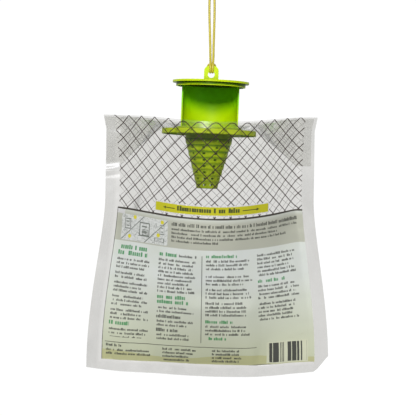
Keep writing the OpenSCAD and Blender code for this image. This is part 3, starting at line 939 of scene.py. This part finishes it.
def panel_folds(s, t, x, z, seed):
    """How far the film stands out from its smooth shape."""
    fine, wide = Noise(seed), Noise(seed + 1)
    across = np.abs(s)
    side = np.sign(s)
    pucker = fine.layers(t / 11.0, side * 3.3, 2) * bell(across, 84, 11) * 0.4
    margin = fine.layers(t / 34.0, side * 5.1 + s / 60, 2) * ramp(88, 101, across) * 0.3
    foot = fine.layers(s / 10.0, 20.5 + t / 60, 2) * bell(t, -240, 16) * 1.0
    body = wide.layers(s / 48.0, t / 70.0, 2) * ramp(-52, -95, t) * 1.6
    away = np.hypot(across - 42, (t + 55) * 0.8)
    angle = np.arctan2(t + 55, across - 42)
    rays = -np.abs(wide.layers(angle * 5.0, side * 2.7 + away / 90, 2)) * bell(away, 34, 24) * 0.5
    end_fold = bell(t, -81 - 0.1 * (across - 88), 3.2) * ramp(66, 98, across) * np.where(s < 0, 1.4, 0.5)
    near_flange = np.exp(-(x / 40) ** 2) * bell(z, flange_top - 2, 11)
    out = (pucker + margin + foot + body + rays * ramp(20, 60, across) + end_fold) * (1 - near_flange)
    by_sachet = ramp(48, 34, np.abs(x)) * ramp(-185, -200, z)
    return out + by_sachet * (np.abs(out) * 0.6 - out)


def panel_haze(s, t, u, v, seed):
    """Milkiness of the welded margins, and painted shade of creases toward the sides."""
    fine = Noise(seed + 5)
    across = np.abs(s)
    weld = ramp(90, 93, across) * (0.13 + 0.07 * fine.layers(t / 24, s / 20, 2))
    foot = ramp(-243, -246, t) * (0.10 + 0.06 * fine.layers(s / 12, t / 8, 3))
    lip = ramp(0.008, 0.0, v) * 0.05 * np.ones_like(s)
    wisps = clamp01(fine.layers(s / 15, t / 30, 4)) * 0.02
    milk = np.maximum.reduce([weld, foot, lip]) + wisps
    # Painted shade: a mottled darker tone toward the sides.
    shade = clamp01(fine.layers(s / 9 + t / 30, t / 26, 3)) * ramp(60, 95, across) * 0.25
    return np.maximum(milk, 0), shade


def place_faces(panel, s, t):
    """Gives each face of the printed back the material of its place on the label."""
    middle_s = (s[:-1, :-1] + s[1:, 1:]) / 2
    middle_t = (t[:-1, :-1] + t[1:, 1:]) / 2
    index = np.zeros(middle_s.shape, np.int32)
    for number, (place, (left, right, low, high)) in enumerate(PLACES.items(), 1):
        panel.data.materials.append(label_print(place))
        here = (middle_s >= left) & (middle_s < right) & (middle_t >= low) & (middle_t < high)
        index[here] = number
    panel.data.polygons.foreach_set("material_index", index.ravel())


def add_panel(name, side, material, seed):
    points, s, t, milk, shade = panel_shape(seed)
    points[..., 1] *= side
    faces = grid_faces(*s.shape)
    if side > 0:
        faces = [f[::-1] for f in faces]
        s = -s
    panel = mesh_from(name, points.reshape(-1, 3), faces, np.stack([s, t], -1).reshape(-1, 2),
                      {"milk": milk, "shade": shade}, material)
    if side < 0:
        place_faces(panel, s, t)
    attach(panel, "bag")
    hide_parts(name[:-len("_panel")] + "_film")
    return panel


# ---- gusset ----

GUSSET_COLS, GUSSET_ROWS = 260, 40


def gusset_surface(x, v):
    u = x / half_width(-EDGE_DROP)
    gusset_half = half_width(-EDGE_DROP) - 0.4
    top = edge_z(u) - 1.5
    inner = np.maximum(FOLD_HALF, np.sqrt(np.maximum(0, hole_r ** 2 - x ** 2)))
    outer = panel_y(x, top) - EDGE_SEAT
    drop = clamp01((np.abs(x) - weld_x) / (gusset_half - SIDE_SEAL - weld_x))
    low = mix(flange_top + 0.1, fold_z + 0.5, drop)
    z = mix(low, top, v ** mix(3, 1, drop))
    narrowing = mix(1, half_width(z) / half_width(-EDGE_DROP), drop)
    return x * narrowing, mix(inner, outer, v), z, drop


def add_gusset(material):
    """Two mirrored leaves that meet in a valley fold beyond the flange's hole."""
    gusset_half = float(half_width(-EDGE_DROP)) - 0.4
    crease, fine = Noise(61), Noise(62)
    x = np.linspace(-gusset_half, gusset_half, GUSSET_COLS + 1)[:, None] * np.ones((1, GUSSET_ROWS + 1))
    v = np.linspace(0, 1, GUSSET_ROWS + 1)[None, :] * np.ones((GUSSET_COLS + 1, 1))
    leaves, uvs, milks, shades = [], [], [], []
    for side in (-1, 1):
        gx, gy, gz, drop = gusset_surface(x, v)
        far = ramp(2, 26, np.abs(x) - hole_r * 0.9) + 0.25 * ramp(0.3, 0.6, v)
        free = np.sin(np.pi * v) ** 0.7 * ramp(gusset_half - 2, gusset_half - 16, np.abs(x)) * clamp01(far)
        fold = -np.abs(crease.layers(x / 15 + side * 9, v * 2.2 + np.abs(x) / 30, 2)) + 0.35
        fold += 0.12 * fine.layers(x / 10 + side * 4, v * 3, 2)
        gy = gy + fold * free * 1.5
        gz = gz + fold * free * 0.9
        rim = v * 0 + ramp(0.985, 1.0, v) * 0.3
        leaf = leaned(gx, side * gy, gz)
        leaves.append(leaf.reshape(-1, 3))
        down = np.hypot(gy - gy[:, -1:], gz - gz[:, -1:])
        uvs.append(np.stack([x, -35.0 + side * 3 + down], -1).reshape(-1, 2))
        wisps = clamp01(crease.layers(x / 14, v * 2 + side * 5, 2))
        milks.append((rim + 0.02 + 0.07 * wisps * free).reshape(-1))
        # Painted shade of the free, crumpled folds.
        shades.append((clamp01(fine.layers(x / 12 + v, v * 2.4 + side * 3, 2)) * free * 0.9).reshape(-1))
    count = leaves[0].shape[0]
    faces = [f[::-1] for f in grid_faces(GUSSET_COLS + 1, GUSSET_ROWS + 1)]
    faces += [[count + k for k in f] for f in grid_faces(GUSSET_COLS + 1, GUSSET_ROWS + 1)]
    bottoms = np.arange(GUSSET_COLS + 1) * (GUSSET_ROWS + 1)
    beyond = np.abs(x[:, 0]) > hole_r + 0.4
    for a, b, joined in zip(bottoms, bottoms[1:], beyond[:-1] & beyond[1:]):
        if joined:
            faces.append([int(a), int(b), int(count + b), int(count + a)])
    gusset = mesh_from("gusset_fold", np.vstack(leaves), faces, np.vstack(uvs),
                       {"milk": np.concatenate(milks), "shade": np.concatenate(shades)}, material)
    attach(gusset, "bag")
    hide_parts("gusset_film")


add_panel("back_panel", -1, upper_print("upper_back", True), BACK_SEED)
add_panel("front_panel", 1, upper_print("upper_front", False, linear(112, 104, 98), 0.5), FRONT_SEED)
add_gusset(plain_film())


# ---- attractant sachet ----

SACHET_W, SACHET_H, SACHET_T = 58.0, 40.0, 7.0


def pillow(w, h, t, rim, middle, steps=64, crimp=0.0, seed=3):
    """A filled pouch with flat sealed edges."""
    a = np.linspace(-1, 1, steps + 1)[:, None] * np.ones((1, steps + 1))
    b = a.T
    plump = np.sqrt((1 - np.abs(a) ** 4) * (1 - np.abs(b) ** 4))
    lumps = Noise(seed)
    rough = lumps.layers(a * 4 + 9, b * 3 + 5, 3)
    sides = []
    for side in (-1, 1):
        swell = rim + (t / 2 - rim) * plump * (0.86 + 0.10 * lumps.layers(a * 3 + side, b * 3, 2))
        wave = crimp * np.sin((a * w + b * h) * 0.9) * (1 - plump)
        sides.append(np.stack([w / 2 * a, side * swell + wave + 0.25 * rough * plump * side, h / 2 * b], -1))
    count = (steps + 1) ** 2
    points = np.vstack([s.reshape(-1, 3) for s in sides]) + middle
    faces = grid_faces(steps + 1, steps + 1)
    faces = [f[::-1] for f in faces] + [[count + k for k in f] for f in faces]
    n = steps + 1
    rim_loop = ([i * n for i in range(n)] + [steps * n + j for j in range(1, n)]
                + [i * n + steps for i in range(steps - 1, -1, -1)] + [j for j in range(steps - 1, 0, -1)])
    for p, q in zip(rim_loop, rim_loop[1:] + rim_loop[:1]):
        faces.append([p, q, count + q, count + p])
    return points, faces


def add_sachet():
    low, high = box_mm("sachet_film")
    middle = (low + high) / 2
    g = Graph("sachet_film")
    place = g.object_place()
    wrinkle = g.noise(place, 160.0, 4.0, 0.6, 0.6)
    shader = g.principled(Base_Color=g.blend(wrinkle, linear(236, 236, 226), linear(214, 214, 200)),
                          Alpha=g.scale(wrinkle, 0.3, 0.7, 0.35, 0.6), Roughness=0.3,
                          Normal=g.bump(wrinkle, 0.5, 0.8 * MM))
    points, faces = pillow(SACHET_W, SACHET_H, SACHET_T, 0.5, middle, crimp=0.25)
    sachet = mesh_from("sachet_pouch", points, faces, material=g.finish(shader.outputs[0]))
    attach(sachet, "bag")
    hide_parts("sachet_film")
    low, high = box_mm("attractant_powder")
    g = Graph("powder")
    place = g.object_place()
    grain = g.noise(place, 1400.0, 4.0, 0.7)
    speck = g.node("ShaderNodeTexVoronoi")
    g.feed(speck.inputs["Vector"], place)
    speck.inputs["Scale"].default_value = 900.0
    tone = g.blend(grain, linear(168, 138, 92), linear(212, 190, 146))
    shader = g.principled(Base_Color=tone, Roughness=0.9,
                          Normal=g.bump(speck.outputs["Distance"], 0.8, 0.6 * MM))
    size = high - low
    points, faces = pillow(size[0], size[2], size[1], 0.2, (low + high) / 2, steps=48, seed=8)
    powder = mesh_from("powder_fill", points, faces, material=g.finish(shader.outputs[0]))
    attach(powder, "bag")
    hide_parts("attractant_powder")


add_sachet()


# ---- studio ----

def stage_paint(name, colour, glow):
    g = Graph(name)
    dust = g.noise(g.position(), 1.5, 2.0)
    shader = g.principled(Base_Color=g.blend(g.scale(dust, 0, 1, 0, 0.01), colour, linear(220, 220, 220)),
                          Roughness=0.8, Specular_IOR_Level=0.0,
                          Emission_Color=(1, 1, 1, 1), Emission_Strength=glow).outputs[0]
    return g.finish(shader)


def stage_plane(name, size, at, turn, paint):
    bpy.ops.mesh.primitive_plane_add(size=size, location=at, rotation=turn)
    plane = bpy.context.object
    plane.name = name
    plane.data.materials.append(paint)
    return plane


WALL_R, FLOOR_SIZE, FLOOR_DROP, PANEL_SIZE = 3.6, 2.2, 0.25, 4     # metres
WHITE_GLOW, FLOOR_GLOW = 1.03, 0.5


def studio_walls():
    """A white surround behind every view, hidden from diffuse and glossy rays."""
    bpy.ops.mesh.primitive_uv_sphere_add(segments=48, ring_count=24, radius=WALL_R)
    walls = bpy.context.object
    walls.name = "studio_walls"
    walls.data.flip_normals()
    walls.data.materials.append(stage_paint("walls", linear(6, 6, 6), WHITE_GLOW))
    walls.visible_diffuse = False
    walls.visible_glossy = False
    walls.visible_shadow = False


def area_light(name, at, power, size, aim=(0, 0, -0.1)):
    data = bpy.data.lights.new(name, "AREA")
    data.energy = power
    data.size = size
    light = link(bpy.data.objects.new(name, data))
    light.location = at
    light.rotation_euler = (Vector(aim) - Vector(at)).to_track_quat("-Z", "Y").to_euler()


floor = stage_plane("floor", FLOOR_SIZE, (0, 0, cad_box[0][2] - FLOOR_DROP), (0, 0, 0),
                    stage_paint("floor", linear(238, 238, 238), FLOOR_GLOW))
floor.visible_diffuse = False
floor.visible_glossy = False
# A glowing panel behind the trap, which lights it and isn't seen by the camera.
back_light = stage_plane("back_light", PANEL_SIZE, (0, 1.1, 0.4), (math.radians(90), 0, 0),
                         stage_paint("back_light", linear(6, 6, 6), WHITE_GLOW))
back_light.visible_camera = False
studio_walls()
area_light("key", (-0.22, -1.65, 0.55), 30, 0.35, (0, 0, -0.03))
area_light("fill", (1.5, -1.3, 0.3), 3, 1.0)
area_light("rim", (-1.2, 0.7, 0.9), 6, 0.8)
world = bpy.data.worlds.new("studio")
world.use_nodes = True
world.node_tree.nodes["Background"].inputs[0].default_value = (0.93, 0.95, 1.0, 1.0)
world.node_tree.nodes["Background"].inputs[1].default_value = 0.24
bpy.context.scene.world = world
bpy.context.scene.view_settings.view_transform = "Standard"
